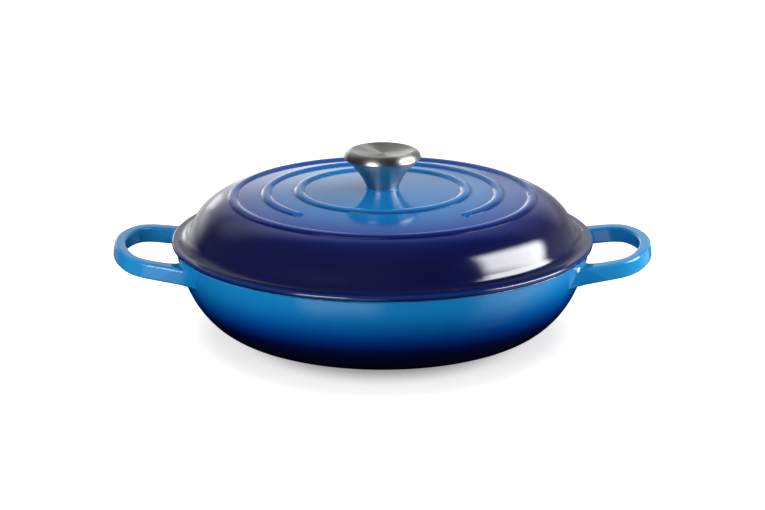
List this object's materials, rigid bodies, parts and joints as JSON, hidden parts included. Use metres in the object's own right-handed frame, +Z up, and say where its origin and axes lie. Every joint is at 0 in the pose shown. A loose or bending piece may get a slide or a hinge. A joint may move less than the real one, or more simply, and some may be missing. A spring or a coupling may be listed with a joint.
{
  "type": "lidded casserole",
  "caption": "Shallow round enamelled iron pot with rounded sides and cast loop handles, under a domed lid with raised rings and a flared steel knob.",
  "frame": {"origin": "centre of the flat base, where the pot stands", "axes": "+Z up, along the axis of pot, lid and knob; the two loop handles lie along X; the gap in the lid's middle ring faces -Y"},
  "size_m": [0.3968, 0.31, 0.136],
  "materials": {
    "pot_enamel": "glossy glass enamel, azure at the rim and handles, fading to near black at the base",
    "lid_enamel": "glossy glass enamel, azure on the crown, deep navy on the shoulder",
    "knob_steel": "turned and brushed",
    "fixing_steel": "plain"
  },
  "bodies": {
    "pot": {"pot": "pot_enamel"},
    "lid": {"lid": "lid_enamel", "knob": "knob_steel", "knob_screw": "fixing_steel", "lock_washer": "fixing_steel"}
  },
  "joints": [
    {"name": "lid_lift", "type": "slide", "parent": "pot", "child": "lid", "axis": [0, 0, 1], "range_m": [0, 0.12]}
  ]
}
